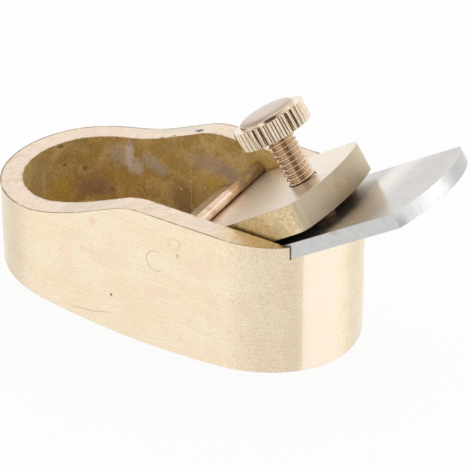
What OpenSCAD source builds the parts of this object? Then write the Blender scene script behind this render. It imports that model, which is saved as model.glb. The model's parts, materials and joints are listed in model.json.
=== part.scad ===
// Thumb plane: a small bench plane held in the fingers, with a brass body that is
// rounded along and across its sole, a steel blade on a sloping bed, and a lever cap
// that a thumb screw tightens against a cross pin.
// X runs from the toe to the heel, Y across, Z up from the lowest point of the sole.

/* [Body] */
// Length from toe to heel
body_l = 60; // [52:1:80]
// Width across the side walls
body_w = 28.4; // [27:0.1:36]
// Thickness of the side walls
wall = 3.5; // [2.5:0.1:3.7]
// Height of the level rim beside the lever cap
rim_h = 25.6; // [25:0.1:32]
// Height of the rim at the toe
toe_h = 18.6; // [14:0.1:19.5]
// Climb of the rim over the toe, in degrees
toe_climb = 5; // [0:0.5:9]
// Climb of the rim in its steepest stretch, in degrees
sweep_climb = 23; // [19:0.5:32]
// Fall of the rim behind the hump, in degrees
rim_fall = 1.3; // [0:0.1:2]
// Where the rim reaches its full height, measured from the toe
hump_x = 31.5; // [30:0.5:34]
// Radius of the hump at the top of the climb
hump_r = 11; // [4:0.5:14]
// Radius of the hollow sweep at the foot of the climb
sweep_r = 37; // [20:1:45]

/* [Sole] */
// Radius of the sole along its length
sole_long_r = 121; // [90:1:200]
// Radius of the sole across its width
sole_cross_r = 45; // [30:1:60]
// Lowest point of the sole, measured from the toe
sole_low_x = 35; // [30:0.5:38]
// Thickness of the sole under the toe hollow
sole_t = 3.5; // [2.5:0.1:5]
// Gap between the cutting edge and the front of the mouth
mouth_gap = 1.3; // [0.6:0.1:2]
// Lean of the mouth's front face away from the blade, in degrees from upright
mouth_lean = 25; // [5:1:40]
// Thickness left on the front edge of the bed
bed_lip = 0.5; // [0.3:0.1:1.2]

/* [Blade] */
// Slope of the bed under the blade, in degrees
bed_angle = 32.4; // [30:0.2:35]
// Height of the bed at the heel
bed_heel_z = 26; // [25:0.1:28]
// Gap between each side of the blade and the side wall
blade_gap = 0.2; // [0.2:0.1:1.5]
// Thickness of the blade
blade_t = 2.3; // [1.5:0.1:3]
// Reach of the blade past the heel, along its slope
blade_reach = 16.7; // [6:0.1:25]
// Radius of the blade's rounded tail
tail_r = 19; // [12:0.5:40]
// Bevel ground on the underside of the cutting edge, in degrees
bevel_angle = 26; // [20:1:29]
// How far the cutting edge is set back into the mouth
edge_set_back = 0.1; // [0:0.05:0.5]

/* [Lever cap] */
// How far each side of the lever cap is set in from the side of the blade
cap_inset = 0.25; // [0:0.05:1.5]
// Thickness of the lever cap
cap_t = 4.5; // [3.5:0.1:5]
// Space between blade and lever cap under the cross pin
cap_lift = 0.65; // [0.5:0.05:1]
// Tilt of the lever cap against the blade, in degrees
cap_tilt = 1.3; // [0.8:0.05:1.6]
// Reach of the level upper face in front of the cross pin, where the nose starts
cap_level = 9.3; // [5:0.1:12]
// Reach of the lever cap in front of the cross pin
cap_nose = 20.1; // [14:0.1:21]
// Thickness of the nose at its tip
nose_t = 0.8; // [0.5:0.1:1.5]
// Length of the pad under the nose that presses on the blade
nose_pad = 2.5; // [1.5:0.1:4]
// Radius of the nose in plan
nose_r = 20; // [14:1:40]
// Reach of the lever cap behind the cross pin
cap_tail = 22; // [20:0.1:26]
// Radius of the lever cap's rounded rear end
cap_tail_r = 26; // [18:1:60]
// Radius that rounds off the two corners of the rear end
cap_corner_r = 2; // [0.5:0.1:4]

/* [Cross pin] */
// Diameter of the cross pin
pin_d = 2; // [1.6:0.1:3]
// Distance of the cross pin from the mouth, along the blade
pin_s = 28.7; // [26:0.1:30]

/* [Thumb screw] */
// Outer diameter of the screw
screw_d = 4.4; // [3:0.1:6]
// Distance of the screw behind the cross pin
screw_s = 15.5; // [12:0.1:16]
// Length of screw that shows above the lever cap
screw_show = 7.9; // [5:0.1:12]
// Bevel on the tip of the screw
tip_bevel = 0.7; // [0.3:0.1:1.2]
// Diameter of the knob over its flutes
knob_d = 11.3; // [8:0.1:16]
// Thickness of the knob's fluted rim
knob_t = 3; // [2:0.1:5]
// Height of the dome on the knob
dome_h = 1.3; // [0.5:0.05:2.5]
// Width of the flat ring round the dome
dome_ring = 0.6; // [0.4:0.1:1.5]
// Number of flutes round the knob
flutes = 34; // [20:1:48]
// Depth of a flute
flute_depth = 0.45; // [0.2:0.05:0.7]
// Thickness of knob left over the end of the screw
knob_roof = 1.2; // [0.8:0.1:2]

/* [Fits] */
// Radial clearance of the screw in the lever cap and in the knob
screw_fit = 0.05; // [0.02:0.01:0.1]
// Radial clearance of the cross pin in the side walls
pin_fit = 0.01; // [0:0.01:0.05]
// Clearance where blade, lever cap and cross pin rest on each other
seat_fit = 0.02; // [0:0.01:0.05]

/* [Hidden] */
$fn = 96;

half_w = body_w / 2;
hollow_half_w = half_w - wall;
blade_w = 2 * (hollow_half_w - blade_gap);
cap_w = blade_w - 2 * cap_inset;
// larger than the whole plane, for cutting blocks
big = 2 * (body_l + body_w);

// Upper face of the blade, as height at the toe, and its crossing with the sole:
// the mouth, where the sole's long arc of centre [sole_low_x, sole_long_r] is cut
seat_t = blade_t + seat_fit;
blade_top_z0 = bed_heel_z + seat_t / cos(bed_angle) - body_l * tan(bed_angle);
arc_to_blade = (sole_long_r - blade_top_z0) * cos(bed_angle) - sole_low_x * sin(bed_angle);
arc_chord = sqrt(sole_long_r ^ 2 - arc_to_blade ^ 2);
mouth_x = sole_low_x + arc_to_blade * sin(bed_angle) - arc_chord * cos(bed_angle);
mouth_z = sole_long_r - arc_to_blade * cos(bed_angle) - arc_chord * sin(bed_angle);
blade_l = (body_l - mouth_x) / cos(bed_angle) + blade_reach;

// Rim: the toe line and the climb meet at a corner that the sweep rounds
climb_foot_x = hump_x - hump_r * sin(sweep_climb);
climb_foot_z = rim_h - hump_r * (1 - cos(sweep_climb));
corner_x = (climb_foot_z - climb_foot_x * tan(sweep_climb) - toe_h)
    / (tan(toe_climb) - tan(sweep_climb));
corner_z = toe_h + corner_x * tan(toe_climb);
sweep_tangent = sweep_r * tan((sweep_climb - toe_climb) / 2);

// Lever cap: height of its upper face over the blade at the cross pin, and the
// depth of the blade under that face at a distance s behind the pin
cap_rise = cap_t + cap_lift;
function blade_under_cap(s) = cap_rise / cos(cap_tilt) + s * tan(cap_tilt);

// The middle of the plane's whole length, from the toe to the tail of the blade
mid_x = (body_l + blade_reach * cos(bed_angle) + seat_t * sin(bed_angle)) / 2;

// Moves a child from the toe to the middle of the plane
module from_toe() {
    translate([-mid_x, 0, 0]) children();
}

// Frame with its origin at the mouth, X up the blade and Z square to it
module on_blade() {
    from_toe() translate([mouth_x, 0, mouth_z]) rotate([0, -bed_angle, 0]) children();
}

// Frame on the upper face of the lever cap, with its origin under the cross pin
module on_cap() {
    on_blade() translate([pin_s, 0, cap_rise]) rotate([0, -cap_tilt, 0]) children();
}

// Extrudes a side outline, drawn in X and Z, to a width w across the plane
module across(w) {
    rotate([90, 0, 0]) linear_extrude(w, center = true) children();
}

// Plan of the body: straight sides between a round toe and a round heel
module body_plan() {
    translate([half_w, 0]) circle(half_w);
    translate([half_w, -half_w]) square([body_l - body_w, body_w]);
    translate([body_l - half_w, 0]) circle(half_w);
}

// Plan of the hollow: round inside the toe and open to the rear for the blade
module hollow_plan() {
    translate([half_w, 0]) circle(hollow_half_w);
    translate([half_w, -hollow_half_w]) square([body_l, 2 * hollow_half_w]);
}

// Points along an arc round a centre, from one angle to another
function arc(centre, r, from, to, steps = 16) = [
    for (i = [0 : steps])
        let (a = from + (to - from) * i / steps)
            [centre.x + r * cos(a), centre.y + r * sin(a)]
];

// Side outline of the body: toe line, hollow sweep, climb, hump and falling rear rim
module rim_outline() {
    sweep_centre = [
        corner_x - sweep_tangent * cos(toe_climb) - sweep_r * sin(toe_climb),
        corner_z - sweep_tangent * sin(toe_climb) + sweep_r * cos(toe_climb)
    ];
    hump_centre = [hump_x, rim_h - hump_r];
    polygon(concat(
        [[-1, -1], [-1, toe_h - tan(toe_climb)]],
        arc(sweep_centre, sweep_r, toe_climb - 90, sweep_climb - 90),
        arc(hump_centre, hump_r, 90 + sweep_climb, 90 - rim_fall),
        [[body_l + 1, rim_h - (body_l + 1 - hump_x) * tan(rim_fall)], [body_l + 1, -1]]
    ));
}

// Barrel whose skin is the sole, curved along and across; inset shrinks it evenly
module sole_barrel(inset = 0) {
    translate([sole_low_x, 0, sole_long_r]) rotate([90, 0, 0]) rotate_extrude($fn = 240) {
        intersection() {
            translate([sole_long_r - sole_cross_r, 0]) circle(sole_cross_r - inset, $fn = 180);
            translate([0, -half_w - 1]) square([sole_long_r, body_w + 2]);
        }
        translate([0, -half_w - 1]) square([sole_long_r - sole_cross_r, body_w + 2]);
    }
}

// Side outline of the throat: open above the bed and behind the front face of the
// mouth, and cut down through the sole in front of the thin edge of the bed
module throat_outline() {
    foot_x = mouth_x - mouth_gap + mouth_z * tan(mouth_lean);
    lip_x = mouth_x + seat_t / sin(bed_angle) + bed_lip / tan(bed_angle);
    polygon([
        [foot_x + tan(mouth_lean), -1],
        [foot_x - big * tan(mouth_lean), big],
        [2 * body_l, big],
        [2 * body_l, bed_heel_z + body_l * tan(bed_angle)],
        [lip_x, mouth_z + bed_lip],
        [lip_x, -1]
    ]);
}

// Body without its holes for the cross pin. The hollow runs down to the floor of the
// toe and to the bed.
module body_casting() {
    difference() {
        intersection() {
            linear_extrude(big) body_plan();
            across(body_w + 2) rim_outline();
            sole_barrel();
        }
        intersection() {
            translate([0, 0, -1]) linear_extrude(big) hollow_plan();
            union() {
                across(body_w) throat_outline();
                intersection() {
                    sole_barrel(sole_t);
                    translate([0, -half_w, 0]) cube([mouth_x, body_w, big]);
                }
            }
        }
    }
}

module body() {
    color([0.86, 0.74, 0.5]) difference() {
        from_toe() body_casting();
        pin_bar(pin_d + 2 * pin_fit, body_w + 2);
    }
}

// Plan of the blade, edge at the left: square to its length but for the round tail
module blade_plan() {
    intersection() {
        translate([0, -blade_w / 2]) square([blade_l, blade_w]);
        union() {
            translate([blade_l - tail_r, 0]) circle(tail_r);
            translate([0, -blade_w / 2]) square([blade_l - tail_r, blade_w]);
        }
    }
}

// The bevel is part of a cylinder of the sole's cross radius, which lies along the
// bevel, so the cutting edge curves as the sole does
module blade() {
    color([0.8, 0.81, 0.83]) on_blade() intersection() {
        translate([0, 0, -blade_t]) linear_extrude(blade_t) blade_plan();
        translate([edge_set_back, 0, 0]) rotate([0, bevel_angle, 0])
            translate([-big / 2, 0, sole_cross_r]) rotate([0, 90, 0])
                cylinder(big, sole_cross_r, sole_cross_r, $fn = 240);
    }
}

// Plan of the lever cap: an arc at the nose, straight sides, and a rear end on a
// larger arc that runs into the sides through rounded corners
module cap_plan() {
    nose_turn = asin(cap_w / 2 / nose_r);
    round_y = cap_w / 2 - cap_corner_r;
    tail_turn = asin(round_y / (cap_tail_r - cap_corner_r));
    tail_centre = [cap_tail - cap_tail_r, 0];
    round_x = tail_centre.x + (cap_tail_r - cap_corner_r) * cos(tail_turn);
    polygon(concat(
        arc([nose_r - cap_nose, 0], nose_r, 180 - nose_turn, 180 + nose_turn),
        arc([round_x, -round_y], cap_corner_r, -90, -tail_turn, 8),
        arc(tail_centre, cap_tail_r, -0.9 * tail_turn, 0.9 * tail_turn, 18),
        arc([round_x, round_y], cap_corner_r, tail_turn, 90, 8)
    ));
}

// Side outline of the lever cap: a plate whose nose, in front of the cross pin, thins
// down to its tip, with a low pad under the tip that seats on the blade
module cap_outline() {
    nose_z = seat_fit - blade_under_cap(-cap_nose);
    pad_end = nose_pad - cap_nose;
    polygon([
        [-cap_nose, nose_z],
        [pad_end, seat_fit - blade_under_cap(pad_end)],
        [pad_end + nose_pad, -cap_t],
        [cap_tail, -cap_t],
        [cap_tail, 0],
        [-cap_level, 0],
        [-cap_nose, nose_z + nose_t]
    ]);
}

module lever_cap() {
    color([0.85, 0.76, 0.6]) on_cap() difference() {
        intersection() {
            across(cap_w) cap_outline();
            translate([0, 0, -big / 2]) linear_extrude(big) cap_plan();
        }
        translate([screw_s, 0, -cap_t - 1]) cylinder(cap_t + 2, d = screw_d + 2 * screw_fit);
    }
}

// Bar of diameter d across the plane, resting on the lever cap
module pin_bar(d, w) {
    on_cap() translate([0, 0, pin_d / 2 + seat_fit]) rotate([90, 0, 0])
        cylinder(w, d = d, center = true);
}

module cross_pin() {
    color([0.8, 0.65, 0.4]) pin_bar(pin_d, body_w);
}

// Screw: a round stud that ends in a bevelled tip on the blade
module thumb_screw() {
    tip_z = seat_fit + screw_d / 2 * tan(cap_tilt) - blade_under_cap(screw_s);
    top_z = screw_show + knob_t + dome_h - knob_roof;
    color([0.83, 0.62, 0.38]) on_cap() translate([screw_s, 0, 0]) rotate_extrude() polygon([
        [0, tip_z],
        [screw_d / 2 - tip_bevel, tip_z],
        [screw_d / 2, tip_z + tip_bevel],
        [screw_d / 2, top_z],
        [0, top_z]
    ]);
}

// Fluted rim of the knob, as seen along the screw
module flute_plan() {
    knob_r = knob_d / 2;
    intersection() {
        polygon([
            for (i = [0 : 2 * flutes - 1])
                let (a = 180 * i / flutes, r = knob_r + 0.1 - (i % 2) * (flute_depth + 0.1))
                    [r * cos(a), r * sin(a)]
        ]);
        circle(knob_r);
    }
}

// Knob: a fluted rim with a flat ring and a dome on top, bored for the screw
module thumb_knob() {
    dome_half_w = knob_d / 2 - flute_depth - dome_ring;
    dome_r = (dome_half_w ^ 2 + dome_h ^ 2) / (2 * dome_h);
    color([0.88, 0.72, 0.42]) on_cap() translate([screw_s, 0, screw_show]) difference() {
        union() {
            linear_extrude(knob_t) flute_plan();
            intersection() {
                translate([0, 0, knob_t + dome_h - dome_r]) sphere(dome_r);
                cylinder(knob_t + dome_h, r = dome_half_w);
            }
        }
        translate([0, 0, -1]) cylinder(
            1 + knob_t + dome_h - knob_roof + screw_fit,
            d = screw_d + 2 * screw_fit
        );
    }
}

body();
blade();
lever_cap();
cross_pin();
thumb_screw();
thumb_knob();
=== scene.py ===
import json
import math
from functools import partial

import bpy
from mathutils import Matrix, Vector


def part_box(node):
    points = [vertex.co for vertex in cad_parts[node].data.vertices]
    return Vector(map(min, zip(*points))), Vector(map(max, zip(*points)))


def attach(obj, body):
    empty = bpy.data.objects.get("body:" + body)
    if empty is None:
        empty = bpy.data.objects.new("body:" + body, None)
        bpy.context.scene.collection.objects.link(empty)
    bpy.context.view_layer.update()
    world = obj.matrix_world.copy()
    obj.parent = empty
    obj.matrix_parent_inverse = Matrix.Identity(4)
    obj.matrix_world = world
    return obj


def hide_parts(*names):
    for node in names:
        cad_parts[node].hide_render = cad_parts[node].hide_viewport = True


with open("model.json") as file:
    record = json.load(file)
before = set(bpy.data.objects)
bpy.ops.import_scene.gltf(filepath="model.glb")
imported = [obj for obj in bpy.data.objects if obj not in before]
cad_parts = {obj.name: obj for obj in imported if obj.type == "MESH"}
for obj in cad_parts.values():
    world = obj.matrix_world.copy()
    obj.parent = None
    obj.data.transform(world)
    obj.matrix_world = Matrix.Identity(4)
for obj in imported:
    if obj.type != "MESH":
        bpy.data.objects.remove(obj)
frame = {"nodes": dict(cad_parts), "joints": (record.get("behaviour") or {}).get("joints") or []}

NODES = frame["nodes"]
JOINTS = {joint["name"]: joint for joint in frame["joints"]}
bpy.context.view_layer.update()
X = (1, 0, 0)
Y = (0, 1, 0)

# Every length below is in millimetres, and every place is in the frame of the whole plane
MM = 0.001

# Body: a wall along two straight sides between a round toe and a round heel
BODY_LOW, BODY_HIGH = (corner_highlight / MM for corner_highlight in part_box("body"))
BODY_HALF_W = BODY_HIGH.y
WALL = 3.5
HOLLOW_HALF_W = BODY_HALF_W - WALL
TOE_CENTRE_X = BODY_LOW.x + BODY_HALF_W
HEEL_CENTRE_X = BODY_HIGH.x - BODY_HALF_W
RIM_LEAST_Z = 15
NEAR_Y = -BODY_HALF_W
FAR_Y = HOLLOW_HALF_W
PIN_LOW, PIN_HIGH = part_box("cross_pin")
PIN_CENTRE = (PIN_LOW + PIN_HIGH) / 2 / MM
UP_BLADE = Vector(JOINTS["blade_slide"]["axis"])

# Thumb screw: heights are along its axis, from the top face of the lever cap
SCREW_AXIS = Vector(JOINTS["knob_turn"]["axis"])
SCREW_BASE = Vector(JOINTS["knob_turn"]["pos_m"]) / MM
SCREW_R = 2.2
SCREW_TIP = -5.43
SCREW_TOP = 11.0
TIP_BEVEL = 0.7
PITCH = 0.8
THREAD_DEPTH = 0.36
THREAD_CREST = 0.14
THREAD_ROOT = 0.2
SCREW_STEPS = 72
RINGS_PER_TURN = 14

# Knob: a fluted rim under a dome, bored for the screw
KNOB_R = 5.65
KNOB_LOW = 7.9
KNOB_HIGH = 10.9
KNOB_FACE_R = 3.4
LOW_CHAMFER = 0.12
HIGH_CHAMFER = 0.08
FLUTES = 34
FLUTE_DEPTH = 0.26
FLUTE_STEPS = 10
DOME_R = 4.4
DOME_H = 1.1
DOME_SHOULDER = 2.6
DOME_STEEP = 3.0
DOME_RINGS = 24
DOME_TIP_R = 0.05
BORE_R = SCREW_R + 0.05
BORE_END = 11.05

# Marks on the body: angles round the heel count from the near side, in degrees
# round the heel: a painted shade up to the line, then a painted pale reflection where it is polished
HEEL_PAINTED_SHADE = (35, 48)
HEEL_LINE = (48.9, 50.2)
HEEL_POLISH_AND_SHEEN_END = (70, 84)
RING_AT = (-3.16, 0, 17.89)
RING_R = 1.7
FILE_PITCH = 0.43

# Camera
CAMERA_AT = Vector((177.086, -299.02, 241.81))
CAMERA_TURN = 30.1118
CAMERA_DOWN = 33.0999
CAMERA_LENS = 209.75
CAMERA_SENSOR = 36
CAMERA_SHIFT = (-0.01966, 0.00315)
CAMERA_CLIP = (10, 20000)

# Stage
FLOOR_HALF = 3000
FLOOR_GREY = 0.9
FLOOR_WHITE = 0.93
FLOOR_CLEAR = 0.8
SOFTBOX_AT = Vector((-100, -100, 750))
SOFTBOX_AIM = Vector((0, 0, 20))
SOFTBOX_SIZE = 650
SOFTBOX_POWER = 0.6

# Studio: the level of its white, and how bright each part is beside that
WORLD_LEVEL = 1.085
ROOM_DIM = 0.66
COLUMN_DIM = 0.16
COLUMN_TINT = (255, 200, 153)
WINDOW_BRIGHT = 2.2
CEILING_DIM = 0.74
LEFT_DIM = 0.66
TOE_DIM = 0.8
FRONT_DIM = 0.86
RIGHT_BRIGHT = 1.12
BACK_DIM = 0.9
BACK_WINDOW_BRIGHT = 1.7

# Studio: angles round the screw's axis, in degrees from the side that faces the camera, and slopes
# along it, from -1 to 1. A part fades in over its first pair of values and out over its second.
ROOM_SIDE = Vector((0.559, -0.739, 0.373))
ROOM_FADE = (0.1, 0.75)
COLUMN_TURN = ((-33, -20), (20, 33))
COLUMN_SLOPE = ((-0.42, -0.3), (0.44, 0.6))
WINDOW_TURN = ((-52, -46), (-27, -22))
WINDOW_SLOPE = ((-0.05, 0.0), (0.45, 0.55))
LEFT_TURN = ((-150, -120), (-58, -52))
CEILING_FADE = (0.74, 0.93)

# Studio: angles round the plane, in degrees from +X toward +Y, and heights, from -1 straight down
# to 1 straight up
HORIZON = (-0.1, 0.08)
TOE_FADE = (146, 168)
TOE_TOP = 0.1
FRONT_TURN = ((-114, -98), (-26, -20))
FRONT_TOP = 0.1
RIGHT_TURN = ((-24, -18), (40, 50))
RIGHT_TOP = 0.5
BACK_TURN = ((46, 54), (78, 90))
BACK_TOP = 0.6
BACK_WINDOW_TURN = ((46, 54), (68, 76))
BACK_WINDOW_HEIGHT = ((0.36, 0.46), (0.66, 0.76))
TOP_FADE = 0.15


# Camera
def add_camera():
    data = bpy.data.cameras.new("camera")
    cam = bpy.data.objects.new("camera", data)
    bpy.context.scene.collection.objects.link(cam)
    turn = Matrix.Rotation(math.radians(CAMERA_TURN), 4, "Z")
    tilt = Matrix.Rotation(math.radians(90 - CAMERA_DOWN), 4, "X")
    cam.matrix_world = Matrix.Translation(CAMERA_AT * MM) @ turn @ tilt
    data.sensor_width = CAMERA_SENSOR
    data.lens = CAMERA_LENS
    data.shift_x, data.shift_y = CAMERA_SHIFT
    data.clip_start, data.clip_end = (length * MM for length in CAMERA_CLIP)
    bpy.context.scene.camera = cam


# Nodes of materials, floor and world
def linear(red, green, blue):
    """A colour as seen on screen, 0 to 255, as the linear colour that a shader takes."""
    parts = [v / 255 for v in (red, green, blue)]
    return tuple(v / 12.92 if v <= 0.04045 else ((v + 0.055) / 1.055) ** 2.4 for v in parts) + (1.0,)


def is_socket(value):
    return isinstance(value, bpy.types.NodeSocket)


class Nodes:
    """Adds nodes to the tree of a material or world. An input takes a socket or a plain value."""

    def __init__(self, owner):
        owner.use_nodes = True
        self.tree = owner.node_tree

    def add(self, kind, values=(), **props):
        node = self.tree.nodes.new(kind)
        for key, value in props.items():
            setattr(node, key, value)
        for key, value in dict(values).items():
            self.put(node.inputs[key], value)
        return node

    def put(self, socket, value):
        if is_socket(value):
            self.tree.links.new(value, socket)
        else:
            socket.default_value = value

    def math(self, operation, a, b=0.0):
        return self.add("ShaderNodeMath", {0: a, 1: b}, operation=operation).outputs[0]

    def times(self, a, b):
        return self.math("MULTIPLY", a, b)

    def vector(self, operation, *vectors, out="Vector"):
        return self.add("ShaderNodeVectorMath", enumerate(vectors), operation=operation).outputs[out]

    def scaled(self, vector, factor):
        node = self.add("ShaderNodeVectorMath", {0: vector}, operation="SCALE")
        self.put(node.inputs["Scale"], factor)
        return node.outputs["Vector"]

    def dot(self, vector, direction):
        return self.vector("DOT_PRODUCT", vector, tuple(direction), out="Value")

    def length(self, vector):
        return self.vector("LENGTH", vector, out="Value")

    def degrees(self, y, x):
        """The angle of the direction x, y."""
        return self.times(self.math("ARCTAN2", y, x), math.degrees(1))

    def step(self, value, low, high, to_low=0.0, to_high=1.0):
        """Goes smoothly from to_low, where value is low, to to_high, where it is high."""
        values = {"Value": value, "From Min": low, "From Max": high, "To Min": to_low, "To Max": to_high}
        return self.add("ShaderNodeMapRange", values, interpolation_type="SMOOTHSTEP").outputs["Result"]

    def between(self, value, fade_in, fade_out):
        """1 where value lies between two fades, each given as the pair of its ends."""
        return self.times(self.step(value, *fade_in), self.step(value, *reversed(fade_out)))

    def mix(self, amount, a, b):
        """a where amount is 0 and b where it is 1, each a socket or a colour as seen on screen."""
        a, b = (value if is_socket(value) else linear(*value) for value in (a, b))
        return self.add("ShaderNodeMix", {"Factor": amount, 6: a, 7: b}, data_type="RGBA").outputs[2]


class Paint(Nodes):
    """One metal. Its colour is built up in layers, from places in the object's own coordinates."""

    def __init__(self, name, metallic=1.0):
        self.mat = bpy.data.materials.new(name)
        super().__init__(self.mat)
        self.bsdf = next(n for n in self.tree.nodes if n.type == "BSDF_PRINCIPLED")
        self.bsdf.inputs["Metallic"].default_value = metallic
        self.at = self.scaled(self.add("ShaderNodeTexCoord").outputs["Object"], 1 / MM)
        self.colour = None

    def ground(self, amount, a, b):
        """The first layer, from colour a to colour b."""
        self.colour = self.mix(amount, a, b)

    def tint(self, amount, tone, share=1.0):
        """Lays a tone over the colour so far, by this share where amount is 1."""
        if share != 1:
            amount = self.times(amount, share)
        self.colour = self.mix(amount, self.colour, tone)

    def noise(self, scale, detail, rough, stretch=(1, 1, 1), shift=0.0, warp=0.0, at=None):
        """Noise with this many cells to a millimetre, times stretch along each axis."""
        place = self.vector("MULTIPLY", at or self.at, stretch)
        if shift:
            place = self.vector("ADD", place, (shift, -shift, 2 * shift))
        values = {"Vector": place, "Scale": scale, "Detail": detail, "Roughness": rough, "Distortion": warp}
        return self.add("ShaderNodeTexNoise", values).outputs["Fac"]

    def axis(self, direction):
        return self.dot(self.at, direction)

    def blot(self, centre, size, soft=0.35, ragged=0.0, grain=1.5):
        """1 inside an ellipsoid with these half sizes round centre, fading to 0 over its outer part."""
        apart = self.vector("DIVIDE", self.vector("SUBTRACT", self.at, centre), size)
        far = self.length(apart)
        if ragged:
            far = self.math("ADD", far, self.times(self.noise(grain, 5, 0.6), ragged))
            far = self.math("SUBTRACT", far, ragged / 2)
        return self.step(far, 1 + soft, 1 - soft)

    def blots(self, spots, soft, ragged, grain=1.5):
        """Tints each spot, given as its centre, half sizes, tone and share."""
        for centre, size, tone, share in spots:
            self.tint(self.blot(centre, size, soft, ragged, grain), tone, share)

    def stroke(self, start, end, half_wide, fade=0.3):
        """1 along the straight line from start to end, this far to each side of it."""
        line = Vector(end) - Vector(start)
        along = tuple(line.normalized())
        near = self.vector("SUBTRACT", self.at, start)
        way = self.dot(near, along)
        far = self.length(self.vector("SUBTRACT", near, self.scaled(along, way)))
        ends = self.between(way, (-fade, fade), (line.length - fade, line.length + fade))
        return self.times(self.step(far, half_wide, half_wide / 3), ends)

    def strokes(self, lines):
        """1 along any of these lines, each given as its ends and its half width."""
        mark = 0.0
        for line in lines:
            mark = self.math("MAXIMUM", mark, self.stroke(*line))
        return mark

    def from_middle(self):
        """Distance in plan from the middle line between the centres of toe and heel."""
        x = self.axis(X)
        y = self.axis(Y)
        nearest = self.add("ShaderNodeClamp", {"Value": x, "Min": TOE_CENTRE_X, "Max": HEEL_CENTRE_X})
        past = self.math("SUBTRACT", x, nearest.outputs["Result"])
        return self.math("SQRT", self.math("ADD", self.times(past, past), self.times(y, y)))

    def round_heel(self):
        """Angle in plan round the centre of the heel, in degrees from the near side."""
        past = self.math("SUBTRACT", self.axis(X), HEEL_CENTRE_X)
        return self.degrees(past, self.axis((0, -1, 0)))

    def from_bar(self, centre):
        """Distance from the line along Y through centre."""
        return self.length(self.vector("MULTIPLY", self.vector("SUBTRACT", self.at, centre), (1, 0, 1)))

    def from_screw(self):
        """Distance from the screw's axis."""
        apart = self.vector("SUBTRACT", self.at, SCREW_BASE)
        return self.length(self.vector("CROSS_PRODUCT", apart, SCREW_AXIS))

    def above_cap(self):
        """Height over the top face of the lever cap."""
        return self.math("SUBTRACT", self.axis(SCREW_AXIS), SCREW_AXIS.dot(SCREW_BASE))

    def brushed(self, blur, amount):
        """Fine lines that blur reflections along the direction blur, by this share."""
        tangent = self.add("ShaderNodeCombineXYZ", enumerate(blur))
        self.put(self.bsdf.inputs["Tangent"], tangent.outputs[0])
        self.bsdf.inputs["Anisotropic"].default_value = amount

    def plain_normal(self):
        return self.add("ShaderNodeNewGeometry").outputs["Normal"]

    def edge(self, radius):
        """The normal rounded over sharp edges by this radius, and how near an edge is, 0 to 1."""
        rounded = self.add("ShaderNodeBevel", {"Radius": radius * MM}, samples=6).outputs[0]
        same = self.vector("DOT_PRODUCT", rounded, self.plain_normal(), out="Value")
        return rounded, self.step(same, 0.995, 0.85)

    def bump(self, height, distance, strength, after=None):
        values = {"Strength": strength, "Distance": distance * MM, "Height": height}
        if after is not None:
            values["Normal"] = after
        return self.add("ShaderNodeBump", values).outputs["Normal"]

    def finish(self, normal, rough, metallic=None):
        self.put(self.bsdf.inputs["Base Color"], self.colour)
        self.put(self.bsdf.inputs["Normal"], normal)
        self.put(self.bsdf.inputs["Roughness"], rough)
        if metallic is not None:
            self.put(self.bsdf.inputs["Metallic"], metallic)
        return self.mat


# Brass of the body: each spot is its centre, half sizes, tone and share
WALL_SPOTS = (
    ((-11.26, NEAR_Y, 9.15), (0.2, 1, 0.3), (120, 92, 62), 0.85),
    ((-14.23, NEAR_Y, 21.49), (0.7, 1, 0.8), (238, 202, 178), 0.45),
    ((0.58, NEAR_Y, 20.02), (0.25, 1, 0.45), (196, 176, 146), 0.6),
    ((-20.2, NEAR_Y, 14.5), (0.2, 1, 0.2), (205, 180, 150), 0.5),
    ((4.0, NEAR_Y, 18.6), (2.0, 1, 1.9), (248, 218, 199), 0.5),
    ((-12.0, NEAR_Y, 15.5), (3.4, 1, 1.6), (248, 218, 198), 0.45),
    ((-19.1, NEAR_Y, 15.2), (0.9, 1, 2.6), (248, 218, 196), 0.4),
    ((-1.9, NEAR_Y, 12.6), (3.2, 1, 0.8), (248, 216, 194), 0.45),
)
WALL_SCRATCHES = (
    ((-18.78, NEAR_Y, 4.62), (-14.6, NEAR_Y, 5.0), 0.12),
    ((-14.6, NEAR_Y, 5.0), (-11.5, NEAR_Y, 5.84), 0.1),
    ((10.4, NEAR_Y, 6.5), (12.1, -13.7, 6.3), 0.1),
    ((21.9, -3.2, 10.4), (22.3, -1.6, 12.6), 0.1),
)
RIM_SPOTS = (
    ((-11.1, 11.85, 24.4), (0.6, 0.5, 2), (58, 58, 64), 0.95),
    ((-11.9, 12.2, 24.2), (0.5, 0.25, 2), (110, 104, 100), 0.7),
    ((-17.4, 10.95, 22.0), (0.45, 0.22, 2), (92, 76, 66), 0.8),
    ((-15.4, 11.15, 22.7), (0.35, 0.3, 2), (104, 92, 84), 0.75),
    ((-4.1, 11.6, 25.5), (0.4, 0.25, 2), (140, 120, 100), 0.7),
    ((-32.4, -11.2, 19.0), (0.5, 0.25, 2), (96, 92, 90), 0.8),
    ((-31.1, -12.3, 19.2), (0.35, 0.25, 2), (110, 104, 98), 0.7),
    ((-16.5, 13.2, 22.4), (4.5, 0.8, 3), (205, 205, 186), 0.5),
)
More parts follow.
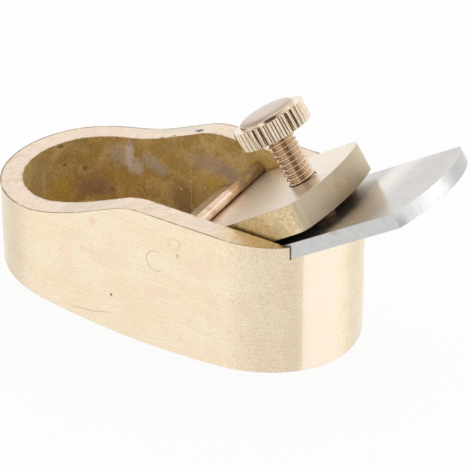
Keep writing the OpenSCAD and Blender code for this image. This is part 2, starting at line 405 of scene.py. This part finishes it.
CAST_STAINS_AND_SHADOW = (
    ((-34.0, 0.6, 13.5), (1.6, 3.4, 5.5), (214, 192, 142), 0.7),
    ((-32.9, 5.0, 10.4), (1.9, 2.6, 2.3), (224, 194, 92), 0.7),
    ((-29.2, 9.0, 10.3), (3.0, 3.0, 1.9), (178, 150, 132), 0.8),
    ((-25.0, 10.6, 12.4), (3.2, 1.5, 1.5), (210, 172, 94), 0.6),
    ((-25.2, 10.6, 16.3), (1.6, 1.5, 2.2), (226, 214, 200), 0.7),
    ((-23.4, FAR_Y, 16.6), (0.75, 1.5, 2.5), (252, 250, 250), 1.0),
    ((-21.9, FAR_Y, 15.2), (0.9, 1.5, 1.4), (240, 234, 230), 0.85),
    ((-19.6, FAR_Y, 16.9), (1.6, 1.5, 1.2), (222, 208, 194), 0.85),
    ((-17.8, FAR_Y, 16.0), (1.7, 1.5, 1.0), (208, 196, 186), 0.8),
    ((-16.0, FAR_Y, 18.7), (2.3, 1.5, 0.9), (214, 174, 104), 0.6),
    ((-17.2, FAR_Y, 12.8), (3.4, 1.5, 1.7), (234, 206, 144), 0.6),
    ((-13.6, FAR_Y, 12.0), (2.2, 1.5, 2.6), (160, 128, 88), 0.8),
    ((-12.9, FAR_Y, 9.6), (1.4, 1.5, 1.4), (128, 100, 66), 0.6),
    ((-8.6, FAR_Y, 19.8), (3.4, 1.5, 1.5), (216, 198, 178), 0.75),
    ((-5.2, FAR_Y, 19.2), (2.4, 1.5, 1.3), (184, 166, 150), 0.7),
    ((-7.4, FAR_Y, 16.4), (3.6, 1.5, 1.4), (230, 194, 106), 0.6),
    ((-3.4, FAR_Y, 17.4), (2.0, 1.5, 0.9), (224, 218, 212), 0.6),
    # a painted shadow on the far wall by the far end of the pin
    ((-2.2, FAR_Y, 16.0), (2.4, 1.5, 0.9), (120, 90, 66), 0.85),
    ((3.0, FAR_Y, 22.5), (5.0, 1.5, 1.6), (226, 180, 86), 0.6),
    ((-32.7, 5.2, 18.5), (0.5, 0.5, 0.3), (118, 96, 60), 0.9),
    ((-32.4, 5.8, 14.9), (0.35, 0.35, 0.3), (128, 102, 60), 0.8),
    ((-30.2, 8.2, 13.7), (0.4, 0.4, 0.35), (132, 104, 62), 0.8),
    ((-26.4, 10.2, 9.9), (0.3, 0.3, 0.25), (128, 102, 60), 0.7),
)
CAST_CHIPS = (
    (-20.1, FAR_Y, 13.1),
    (-20.2, FAR_Y, 12.1),
    (-13.9, FAR_Y, 13.6),
    (-9.7, FAR_Y, 15.0),
)


def wall_brass():
    """The outer wall: ground along its length, finely pitted, with pink clouds, marks of use, and painted
    reflections and shade round heel and toe.
    """
    p = Paint("wall_brass")
    p.brushed((0, 0, 1), 0.9)
    lines = p.noise(1.0, 6, 0.7, stretch=(0.25, 0.25, 9))
    cloud = p.noise(0.13, 4, 0.6, stretch=(1, 1, 1.5), shift=3)
    pink = p.noise(0.3, 4, 0.6, shift=17)
    p.ground(p.step(cloud, 0.3, 0.7), (252, 234, 203), (255, 240, 214))
    p.tint(p.step(pink, 0.55, 0.75), (248, 219, 198), 0.5)
    p.tint(p.step(lines, 0.45, 0.75), (224, 200, 160), 0.18)

    # round the heel the wall is painted darker up to a clear line, a painted shade, and past the line it is
    # polished and painted paler, a painted reflection
    turn = p.round_heel()
    polish_and_sheen = p.between(turn, HEEL_LINE, HEEL_POLISH_AND_SHEEN_END)
    p.tint(p.between(turn, HEEL_PAINTED_SHADE, HEEL_LINE), (200, 184, 158), 0.3)
    p.tint(polish_and_sheen, (248, 233, 215), 0.85)

    # pits, more of them toward the heel and few where it is polished
    fine = p.noise(5.5, 5, 0.7)
    speck = p.noise(11, 3, 0.6, stretch=(1, 1, 0.6), shift=29)
    pitted = p.times(p.step(p.axis(X), 4, 12, 0.7, 1), p.math("SUBTRACT", 1, p.times(polish_and_sheen, 0.8)))
    p.tint(p.times(p.step(fine, 0.5, 0.68), pitted), (206, 184, 148))
    p.tint(p.times(p.step(speck, 0.56, 0.7), pitted), (190, 166, 128), 0.55)

    # upright grey bands round the toe, a painted reflection
    toe_reflection_bands = p.noise(1.0, 4, 0.6, stretch=(1.6, 1.6, 0.04), shift=47)
    p.tint(p.times(p.step(toe_reflection_bands, 0.45, 0.62), p.step(p.axis(X), -31, -35.5)), (206, 198, 188), 0.6)

    # part of the edge of a flush plug in the near side
    off_ring = p.math("ABSOLUTE", p.math("SUBTRACT", p.from_bar(RING_AT), RING_R))
    ring = p.times(p.step(off_ring, 0.2, 0.02), p.step(p.axis(X), -1.9, -3.0))
    ring = p.times(ring, p.step(p.axis(Y), NEAR_Y + 0.3, NEAR_Y + 0.1))
    p.tint(ring, (196, 170, 132), 0.5)

    p.blots(WALL_SPOTS, 0.4, 0.5)
    p.tint(p.strokes(WALL_SCRATCHES), (178, 150, 112), 0.5)

    # a burr along the edges, but not round the end of the pin
    normal, near_edge = p.edge(0.12)
    burr = p.times(near_edge, p.step(p.noise(0.5, 4, 0.65, shift=41), 0.35, 0.65, 0.15, 0.6))
    p.tint(p.times(burr, p.step(p.from_bar(PIN_CENTRE), 1.5, 1.9)), (190, 160, 122))
    normal = p.bump(lines, 0.01, 0.5, after=normal)
    normal = p.bump(fine, 0.016, 0.6, after=normal)
    return p.finish(normal, p.step(lines, 0.3, 0.75, 0.22, 0.3))


def rim_brass():
    """The rim: file marks that cross each other in patches, dark burrs and dents along both edges."""
    p = Paint("rim_brass")
    across = p.noise(1.0, 5, 0.65, stretch=(4.5, 0.4, 0.4))
    along = p.noise(1.0, 5, 0.65, stretch=(0.5, 4.5, 0.5), shift=7)
    hatch = p.mix(p.step(p.noise(0.16, 2, 0.5, shift=23), 0.42, 0.58), across, along)
    cloud = p.noise(0.25, 4, 0.6, shift=11)
    p.ground(p.step(cloud, 0.3, 0.7), (241, 222, 199), (236, 219, 202))
    p.tint(p.step(hatch, 0.42, 0.72), (208, 184, 158), 0.5)

    # slanting marks, shifted back along X by 0.9 mm for each millimetre of Y
    leaning = p.vector("ADD", p.at, p.scaled((-0.9, 0, 0), p.axis(Y)))
    slant = p.noise(1.0, 4, 0.6, stretch=(3.4, 0.5, 0.5), shift=53, at=leaning)
    patches = p.noise(0.22, 2, 0.5, shift=59)
    slant = p.times(p.step(slant, 0.5, 0.64), p.step(patches, 0.44, 0.6, 0.1, 0.75))
    p.tint(slant, (202, 186, 164))

    # two patches of plain file marks across the near side
    filed = p.blot((-19.0, -12.4, 21.6), (1.7, 1.8, 3))
    filed = p.math("MAXIMUM", filed, p.blot((-13.0, -12.0, 23.2), (1.7, 1.3, 3)))
    marks = p.math("SINE", p.times(p.axis(X), 2 * math.pi / FILE_PITCH))
    p.tint(p.times(filed, p.step(marks, -0.2, -0.8)), (254, 246, 232), 0.7)
    p.tint(p.times(filed, p.step(marks, -0.1, 0.6)), (188, 172, 144), 0.9)

    # dark lines of burrs along the outer and the inner edge, broken here and there
    out = p.from_middle()
    broken = p.step(p.noise(0.45, 4, 0.65, shift=31), 0.34, 0.56, 0.3, 1)
    p.tint(p.times(p.step(out, BODY_HALF_W - 0.35, BODY_HALF_W - 0.1), broken), (150, 124, 96))
    broken = p.step(p.noise(0.7, 4, 0.65, shift=37), 0.45, 0.6, 0, 0.6)
    p.tint(p.times(p.step(out, HOLLOW_HALF_W + 0.4, HOLLOW_HALF_W + 0.05), broken), (150, 124, 92))
    p.blots(RIM_SPOTS, 0.4, 0.6)

    # a painted golden reflection on the rim near the heel, broken by scrape marks
    scrape = p.noise(1.0, 5, 0.65, stretch=(3.5, 0.7, 0.7), shift=19)
    golden_reflection = p.blot((12.6, -11.8, 25.0), (5.6, 2.2, 2.5), 0.4, 0.5)
    p.tint(p.times(golden_reflection, p.step(scrape, 0.36, 0.6, 0.15, 0.8)), (252, 224, 160))
    p.tint(p.times(golden_reflection, p.step(scrape, 0.5, 0.66)), (176, 134, 78), 0.6)
    normal = p.bump(hatch, 0.015, 0.6, after=p.edge(0.12)[0])
    return p.finish(normal, p.step(hatch, 0.3, 0.7, 0.3, 0.42))


def cast_brass():
    """The inside of the casting: patina in stains of olive, gold and brown over a fine grain, and one
    painted shadow by the pin.
    """
    p = Paint("cast_brass")
    cloud = p.noise(0.3, 6, 0.62, shift=5, warp=0.6)
    stain = p.noise(0.55, 6, 0.65, shift=13, warp=0.8)
    streaks = p.noise(1.0, 5, 0.6, stretch=(1.6, 1.6, 0.25), shift=3)
    grain = p.noise(3.2, 6, 0.65)
    gleam = p.noise(4.5, 5, 0.7, shift=61, warp=0.5)
    p.ground(p.step(cloud, 0.34, 0.66), (203, 170, 97), (237, 209, 148))
    p.tint(p.step(stain, 0.52, 0.7), (190, 166, 126), 0.6)
    p.tint(p.step(stain, 0.44, 0.32), (168, 124, 66), 0.6)
    p.tint(p.step(streaks, 0.5, 0.72), (234, 204, 142), 0.35)
    p.blots(CAST_STAINS_AND_SHADOW, 0.5, 1.7, 1.3)

    # a pale run in the toe, a seam across the far wall and chips in it
    p.tint(p.blot((-33.9, 2.0, 12.2), (1, 0.32, 3.4), 0.5, 0.5), (236, 220, 182), 0.7)
    p.tint(p.stroke((-12.1, FAR_Y, 10.0), (-12.15, FAR_Y, 22.5), 0.16), (236, 210, 156), 0.45)
    for centre in CAST_CHIPS:
        p.tint(p.blot(centre, (0.2, 0.6, 0.15), 0.5), (250, 236, 210))

    p.tint(p.step(grain, 0.46, 0.72), (146, 116, 62), 0.6)
    p.tint(p.step(gleam, 0.54, 0.68), (252, 228, 166), 0.6)
    normal = p.bump(stain, 0.12, 0.4)
    normal = p.bump(grain, 0.07, 0.7, after=normal)
    return p.finish(normal, p.step(grain, 0.3, 0.7, 0.42, 0.6), p.step(stain, 0.4, 0.6, 0.42, 0.2))


# Brass of the lever cap
def cap_top_brass():
    """The top face: ground lengthwise, bright along its edges, with a nick by the pin."""
    p = Paint("cap_top_brass", metallic=0.82)
    p.brushed(Y, 0.5)
    lines = p.noise(1.0, 5, 0.65, stretch=(0.12, 6, 0.12))
    cloud = p.noise(0.4, 4, 0.6, shift=2)
    p.ground(p.step(cloud, 0.3, 0.7), (246, 234, 217), (250, 239, 224))
    p.tint(p.step(lines, 0.4, 0.72), (216, 199, 174), 0.4)
    p.tint(p.stroke((-0.4, 3.6, 20.55), (0.8, 4.3, 21.25), 0.14), (255, 250, 240))
    normal, near_edge = p.edge(0.15)
    p.tint(near_edge, (252, 240, 218), 0.6)
    normal = p.bump(lines, 0.01, 0.5, after=normal)
    return p.finish(normal, p.step(lines, 0.3, 0.7, 0.24, 0.38))


def cap_side_brass():
    """The long sides: dull and mottled."""
    p = Paint("cap_side_brass")
    mottle = p.noise(1.6, 6, 0.7, warp=0.8)
    cloud = p.noise(0.35, 4, 0.6, shift=9)
    p.ground(p.step(mottle, 0.35, 0.65), (206, 178, 130), (244, 226, 190))
    p.tint(p.step(cloud, 0.45, 0.65), (206, 196, 160), 0.5)
    normal, near_edge = p.edge(0.15)
    p.tint(near_edge, (252, 240, 214), 0.6)
    normal = p.bump(mottle, 0.05, 0.6, after=normal)
    return p.finish(normal, p.step(mottle, 0.3, 0.7, 0.34, 0.5))


def cap_end_brass():
    """The rear end: lines along its width, pits, a painted dark reflection toward its lower edge and
    painted highlights on its corners.
    """
    p = Paint("cap_end_brass")
    cloud = p.noise(0.4, 5, 0.6, shift=4)
    lines = p.noise(1.0, 5, 0.6, stretch=(3, 0.4, 3), shift=6)
    pits = p.step(p.noise(2.6, 4, 0.6, shift=8), 0.64, 0.76)
    p.ground(p.step(cloud, 0.35, 0.65), (174, 156, 130), (187, 170, 146))
    p.tint(p.step(lines, 0.45, 0.72), (190, 168, 136), 0.3)
    p.tint(pits, (128, 108, 80), 0.6)
    # a painted dark reflection of the shaded blade, toward the lower edge
    uneven = p.times(p.noise(0.9, 5, 0.65, shift=12), 2.4)
    p.tint(p.step(p.math("SUBTRACT", uneven, p.above_cap()), 2.4, 5.9), (112, 92, 66), 0.8)
    # a painted highlight on the rounded corners, which are also made rougher
    corner_highlight = p.step(p.math("ABSOLUTE", p.dot(p.plain_normal(), Y)), 0.02, 0.6)
    p.tint(corner_highlight, (255, 244, 214), 0.8)
    normal, near_edge = p.edge(0.15)
    p.tint(near_edge, (250, 238, 216), 0.7)
    normal = p.bump(lines, 0.01, 0.5, after=normal)
    normal = p.bump(pits, 0.04, -0.5, after=normal)
    return p.finish(normal, p.math("ADD", p.step(cloud, 0.3, 0.7, 0.3, 0.42), p.times(corner_highlight, 0.22)))


# Brass of the pin, the screw and the knob
def pin_brass():
    """The pin: polished by use on its near part, and duller on its far part, where rust and stain colours
    are partly a painted shadow.
    """
    p = Paint("pin_brass")
    lines = p.noise(1.0, 4, 0.6, stretch=(8, 0.3, 8))
    cloud = p.noise(0.5, 5, 0.6)
    p.ground(p.step(lines, 0.35, 0.7), (228, 204, 180), (212, 184, 156))
    p.tint(p.step(cloud, 0.45, 0.65), (170, 138, 106), 0.6)
    # darker toward the far end: rust brown and stains, partly a painted shadow falling on the pin
    away = p.math("ADD", p.axis(Y), p.times(cloud, 3))
    p.tint(p.step(away, 1.8, 4.2), (170, 126, 88), 0.85)
    far = p.step(away, 4.0, 6.6)
    stain = p.mix(p.step(p.noise(1.1, 5, 0.65, shift=14), 0.35, 0.65), (172, 142, 88), (126, 100, 66))
    p.tint(far, stain, 0.95)
    rough = p.math("ADD", p.step(lines, 0.3, 0.7, 0.18, 0.28), p.times(far, 0.3))
    return p.finish(p.bump(lines, 0.006, 0.4), rough, p.step(far, 0, 1, 1, 0.35))


def screw_brass():
    """The screw: polished, and darker in the root of the thread."""
    p = Paint("screw_brass")
    cloud = p.noise(1.6, 5, 0.6)
    wear = p.noise(5.0, 4, 0.6, shift=9)
    p.ground(p.step(cloud, 0.3, 0.7), (234, 214, 190), (216, 190, 160))
    p.tint(p.step(wear, 0.55, 0.7), (196, 164, 136), 0.5)
    # darker in the root of the thread
    p.tint(p.step(p.from_screw(), SCREW_R - 0.14, SCREW_R - 0.32), (136, 100, 70), 0.32)
    return p.finish(p.bump(cloud, 0.01, 0.4), p.step(cloud, 0.3, 0.7, 0.12, 0.24))


def knob_brass():
    """The knob: polished, with a duller dome painted darker, a painted shade ring on it and flutes darker
    toward their bottoms.
    """
    p = Paint("knob_brass")
    cloud = p.noise(1.2, 5, 0.6)
    wear = p.noise(4.0, 5, 0.65, shift=3)
    p.ground(p.step(cloud, 0.3, 0.7), (245, 230, 206), (232, 214, 188))
    p.tint(p.step(wear, 0.55, 0.75), (210, 182, 148), 0.4)
    up = p.above_cap()
    # the dome is rougher and painted darker, a painted shade
    dull_dome_and_shade = p.step(up, KNOB_HIGH + 0.05, KNOB_HIGH + 0.2)
    p.tint(dull_dome_and_shade, (208, 191, 175))
    # a painted shade ring over the dome's shoulder
    ring = p.between(up, (KNOB_HIGH + 0.4, KNOB_HIGH + 0.6), (KNOB_HIGH + 0.7, KNOB_HIGH + 0.95))
    ring = p.times(ring, p.step(p.noise(0.5, 3, 0.5, shift=5), 0.3, 0.6, 0.3, 0.8))
    p.tint(ring, (186, 158, 138))
    # darker toward the bottoms of the flutes
    deep = p.step(p.from_screw(), KNOB_R - 0.12, KNOB_R - 0.22)
    side = p.between(up, (KNOB_LOW + 0.02, KNOB_LOW + 0.1), (KNOB_HIGH - 0.1, KNOB_HIGH - 0.02))
    p.tint(p.times(deep, side), (126, 100, 72), 0.38)
    rough = p.math("ADD", p.step(cloud, 0.3, 0.7, 0.12, 0.2), p.times(dull_dome_and_shade, 0.12))
    return p.finish(p.bump(wear, 0.006, 0.4), rough)


# Steel of the blade
def blade_top_steel():
    """The flat faces: ground lengthwise, with a painted pale reflection of the lever cap's end across them.
    """
    p = Paint("blade_top_steel")
    p.brushed(Y, 0.4)
    lines = p.noise(1.0, 5, 0.65, stretch=(0.15, 5, 0.15))
    cloud = p.noise(0.3, 4, 0.6, shift=6)
    p.ground(p.step(cloud, 0.35, 0.65), (206, 202, 199), (198, 194, 190))
    p.tint(p.step(lines, 0.4, 0.72), (186, 183, 180), 0.25)
    # a painted pale reflection of the lever cap's end, in a band across the blade
    p.tint(p.between(p.axis(UP_BLADE), (34, 37), (38, 43)), (240, 232, 224), 0.8)
    normal, near_edge = p.edge(0.12)
    p.tint(near_edge, (240, 240, 240), 0.6)
    normal = p.bump(lines, 0.006, 0.5, after=normal)
    return p.finish(normal, p.step(lines, 0.3, 0.7, 0.17, 0.28))


def blade_side_steel():
    """The long sides: duller and mottled, with a little rust on the near one."""
    p = Paint("blade_side_steel")
    mottle = p.noise(1.9, 5, 0.65, shift=5)
    lines = p.noise(1.0, 5, 0.6, stretch=(5, 0.4, 5), shift=2)
    p.ground(p.step(mottle, 0.35, 0.65), (200, 200, 198), (214, 214, 213))
    p.tint(p.step(lines, 0.45, 0.72), (194, 195, 196), 0.3)
    p.tint(p.blot((24.3, -10.5, 29.8), (0.9, 1, 0.45), 0.5, 0.6), (190, 168, 158), 0.5)
    normal, near_edge = p.edge(0.12)
    p.tint(near_edge, (236, 237, 238), 0.6)
    normal = p.bump(mottle, 0.02, 0.5, after=normal)
    return p.finish(normal, p.step(mottle, 0.3, 0.7, 0.34, 0.44))


def blade_tail_steel():
    """The rear end: fine lines across its thickness, and a painted highlight toward the near corner."""
    p = Paint("blade_tail_steel")
    lines = p.noise(1.0, 5, 0.65, stretch=(0.3, 4.5, 0.3), shift=8)
    cloud = p.noise(0.5, 4, 0.6, shift=21)
    away = p.math("ADD", p.axis(Y), p.times(cloud, 3))
    # a painted highlight, fading from the near corner
    p.ground(p.step(away, -2.0, 4.0), (250, 250, 250), (202, 201, 199))
    p.tint(p.step(lines, 0.46, 0.72), (206, 205, 204), 0.4)
    p.tint(p.blot((35.5, -10.3, 35.0), (1.1, 1.0, 3), 0.5, 0.5), (176, 175, 174), 0.5)
    normal, near_edge = p.edge(0.12)
    p.tint(near_edge, (244, 244, 244), 0.6)
    normal = p.bump(lines, 0.01, 0.5, after=normal)
    return p.finish(normal, p.step(lines, 0.3, 0.7, 0.26, 0.38))


# Pieces made here
def add_piece(name, verts, faces, material, body, node, sharp):
    """Adds a mesh that stands for a node. It shades smooth, except over edges above sharp degrees."""
    mesh = bpy.data.meshes.new(name)
    mesh.from_pydata([tuple(v * MM) for v in verts], [], faces)
    mesh.validate()
    mesh.materials.append(material)
    obj = bpy.data.objects.new(name, mesh)
    bpy.context.scene.collection.objects.link(obj)
    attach(obj, body)
    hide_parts(node)
    mesh.shade_smooth()
    mesh.set_sharp_from_angle(angle=math.radians(sharp))


def on_screw(out, angle, height):
    """The place this far out from the screw's axis, at this angle and this height over the cap."""
    side = Vector(Y).cross(SCREW_AXIS)
    return SCREW_BASE + (side * math.cos(angle) + Vector(Y) * math.sin(angle)) * out + SCREW_AXIS * height


def lathe(rings, steps):
    """Vertices and faces of a closed turned body on the screw's axis. A ring is its height and its
    radius, a number or a function of the angle. A point on the axis closes each end."""
    verts = []
    faces = []
    for height, radius in rings:
        for i in range(steps):
            angle = 2 * math.pi * i / steps
            verts.append(on_screw(radius(angle) if callable(radius) else radius, angle, height))
    last = len(verts) - steps
    for ring in range(0, last, steps):
        for i in range(steps):
            j = (i + 1) % steps
            faces.append((ring + i, ring + j, ring + steps + j, ring + steps + i))
    low = len(verts)
    verts.append(on_screw(0, 0, rings[0][0]))
    verts.append(on_screw(0, 0, rings[-1][0]))
    for i in range(steps):
        j = (i + 1) % steps
        faces.append((low, j, i))
        faces.append((low + 1, last + i, last + j))
    return verts, faces


def thread_radius(height, angle):
    """Radius of the thread: flat crests and roots joined by flanks, and a bevel at the tip."""
    away = abs((height / PITCH - angle / (2 * math.pi)) % 1 - 0.5) * 2
    down = (away - THREAD_CREST) / (1 - THREAD_CREST - THREAD_ROOT)
    thread = SCREW_R - THREAD_DEPTH * min(max(down, 0), 1)
    return min(thread, SCREW_R - TIP_BEVEL + height - SCREW_TIP)


def add_screw():
    length = SCREW_TOP - SCREW_TIP
    count = round(length / PITCH * RINGS_PER_TURN)
    heights = [SCREW_TIP + length * k / count for k in range(count + 1)]
    verts, faces = lathe([(height, partial(thread_radius, height)) for height in heights], SCREW_STEPS)
    add_piece("threaded_screw", verts, faces, screw_brass(), "screw", "thumb_screw", 60)


def flute_radius(cut, angle):
    """Radius of the rim, a wave with rounded crests and bottoms, whose crests are cut down by cut."""
    return min(KNOB_R - cut, KNOB_R - FLUTE_DEPTH * (0.5 - 0.5 * math.cos(angle * FLUTES)))


def add_knob():
    side = partial(flute_radius, 0)
    rings = [
        (BORE_END, BORE_R * 0.5),
        (BORE_END, BORE_R),
        (KNOB_LOW, BORE_R),
        (KNOB_LOW, KNOB_FACE_R),
        (KNOB_LOW, partial(flute_radius, LOW_CHAMFER)),
        (KNOB_LOW + LOW_CHAMFER, side),
        (KNOB_HIGH - HIGH_CHAMFER, side),
        (KNOB_HIGH, partial(flute_radius, HIGH_CHAMFER)),
        (KNOB_HIGH, DOME_R),
    ]
    # the dome: nearly level in the middle and falling off round its shoulder
    for k in range(1, DOME_RINGS):
        out = math.cos(math.pi / 2 * k / DOME_RINGS)
        rise = (1 - out ** DOME_SHOULDER) ** (1 / DOME_STEEP)
        rings.append((KNOB_HIGH + DOME_H * rise, DOME_R * out))
    rings.append((KNOB_HIGH + DOME_H, DOME_TIP_R))
    verts, faces = lathe(rings, FLUTES * FLUTE_STEPS)
    add_piece("fluted_knob", verts, faces, knob_brass(), "knob", "thumb_knob", 28)


# Solids of the frame that get a finish
def dress(name, materials, choose):
    """Gives a node its materials, one to each face by choose(centre in millimetres, normal)."""
    mesh = NODES[name].data
    mesh.materials.clear()
    for material in materials:
        mesh.materials.append(material)
    for face in mesh.polygons:
        face.material_index = choose(face.center / MM, face.normal)


def body_face(centre, normal):
    """0 for the outer wall and the sole, 1 for the rim, 2 for the inside."""
    past = centre.x - min(max(centre.x, TOE_CENTRE_X), HEEL_CENTRE_X)
    out = math.hypot(past, centre.y)
    if normal.z < -0.7 or (out > BODY_HALF_W - 0.25 and abs(normal.z) < 0.3):
        return 0
    if normal.z > 0.3 and out > HOLLOW_HALF_W - 0.05 and centre.z > RIM_LEAST_Z:
        return 1
    return 2


def plate_face(centre, normal):
    """0 for the flat faces of the blade or the lever cap, 1 for the long sides, 2 for the rear end."""
    if abs(normal.y) > 0.9:
        return 1
    return 2 if normal.dot(UP_BLADE) > 0.3 else 0


def pin_face(centre, normal):
    """0 round the pin, 1 for its ends, which are filed flush with the wall."""
    return 1 if abs(normal.y) > 0.9 else 0


# Stage
def add_floor():
    """A floor that the camera sees as white under the object's shadow, and that metal hardly mirrors."""
    mesh = bpy.data.meshes.new("floor")
    half = FLOOR_HALF * MM
    corners = [(-half, -half, 0), (half, -half, 0), (half, half, 0), (-half, half, 0)]
    mesh.from_pydata(corners, [], [(0, 1, 2, 3)])
    obj = bpy.data.objects.new("floor", mesh)
    bpy.context.scene.collection.objects.link(obj)
    mat = bpy.data.materials.new("floor")
    mesh.materials.append(mat)
    light = Nodes(mat)
    light.tree.nodes.clear()
    path = light.add("ShaderNodeLightPath")
    grey = light.add("ShaderNodeBsdfDiffuse", {"Color": (FLOOR_GREY, FLOOR_GREY, FLOOR_GREY, 1)})
    white = light.add("ShaderNodeEmission", {"Color": (1, 1, 1, 1), "Strength": 1.0})
    clear = light.add("ShaderNodeBsdfTransparent", {"Color": (1, 1, 1, 1)})
    seen = light.times(path.outputs["Is Camera Ray"], FLOOR_WHITE)
    mirrored = light.times(path.outputs["Is Glossy Ray"], FLOOR_CLEAR)
    mix = light.add("ShaderNodeMixShader", {0: seen, 1: grey.outputs[0], 2: white.outputs[0]})
    mix = light.add("ShaderNodeMixShader", {0: mirrored, 1: mix.outputs[0], 2: clear.outputs[0]})
    light.add("ShaderNodeOutputMaterial", {"Surface": mix.outputs[0]})


def add_world():
    """A white studio. The room on the camera's side is dimmer, with a dark column in its middle and a
    window beside it. So are the left, the ceiling, and low parts in front, behind and past the toe.
    The right is a little brighter, with a second window at the back."""
    world = bpy.data.worlds.new("studio")
    bpy.context.scene.world = world
    light = Nodes(world)
    light.tree.nodes.clear()
    path = light.add("ShaderNodeLightPath")
    way = light.add("ShaderNodeTexCoord").outputs["Generated"]
    parts = light.add("ShaderNodeSeparateXYZ", {0: way}).outputs
    height = parts["Z"]
    turn = light.degrees(parts["Y"], parts["X"])
    up_screw = light.dot(way, SCREW_AXIS)
    to_room = light.dot(way, ROOM_SIDE)
    round_screw = light.degrees(light.dot(way, SCREW_AXIS.cross(ROOM_SIDE)), to_room)
    above = light.step(height, *HORIZON)

    def under(top):
        return light.step(height, top + TOP_FADE, top)

    def round_axis(turns, slopes):
        return light.times(light.between(round_screw, *turns), light.between(up_screw, *slopes))

    column = light.times(round_axis(COLUMN_TURN, COLUMN_SLOPE), above)
    level = WORLD_LEVEL
    for inside, amount in (
        (light.times(light.step(to_room, *ROOM_FADE), above), ROOM_DIM),
        (light.times(light.between(round_screw, *LEFT_TURN), above), LEFT_DIM),
        (light.times(light.step(light.math("ABSOLUTE", turn), *TOE_FADE), under(TOE_TOP)), TOE_DIM),
        (light.step(up_screw, *CEILING_FADE), CEILING_DIM),
        (round_axis(WINDOW_TURN, WINDOW_SLOPE), WINDOW_BRIGHT),
        (light.times(light.between(turn, *FRONT_TURN), under(FRONT_TOP)), FRONT_DIM),
        (light.times(light.between(turn, *RIGHT_TURN), under(RIGHT_TOP)), RIGHT_BRIGHT),
        (light.times(light.between(turn, *BACK_TURN), under(BACK_TOP)), BACK_DIM),
        (
            light.times(light.between(turn, *BACK_WINDOW_TURN), light.between(height, *BACK_WINDOW_HEIGHT)),
            BACK_WINDOW_BRIGHT,
        ),
        (column, COLUMN_DIM),
    ):
        level = light.times(level, light.math("ADD", 1, light.times(inside, amount - 1)))
    level = light.math("MAXIMUM", path.outputs["Is Camera Ray"], level)
    tint = light.mix(column, (255, 255, 255), COLUMN_TINT)
    back = light.add("ShaderNodeBackground", {"Color": tint, "Strength": level})
    light.add("ShaderNodeOutputWorld", {"Surface": back.outputs[0]})


def add_softbox():
    data = bpy.data.lights.new("softbox", "AREA")
    data.shape = "SQUARE"
    data.size = SOFTBOX_SIZE * MM
    data.energy = SOFTBOX_POWER
    obj = bpy.data.objects.new("softbox", data)
    bpy.context.scene.collection.objects.link(obj)
    obj.location = SOFTBOX_AT * MM
    obj.rotation_euler = (SOFTBOX_AT - SOFTBOX_AIM).to_track_quat("Z", "Y").to_euler()


add_camera()
wall = wall_brass()
dress("body", [wall, rim_brass(), cast_brass()], body_face)
dress("lever_cap", [cap_top_brass(), cap_side_brass(), cap_end_brass()], plate_face)
dress("cross_pin", [pin_brass(), wall], pin_face)
dress("blade", [blade_top_steel(), blade_side_steel(), blade_tail_steel()], plate_face)
add_screw()
add_knob()
add_floor()
add_world()
add_softbox()

bpy.context.scene.view_settings.view_transform = "Standard"
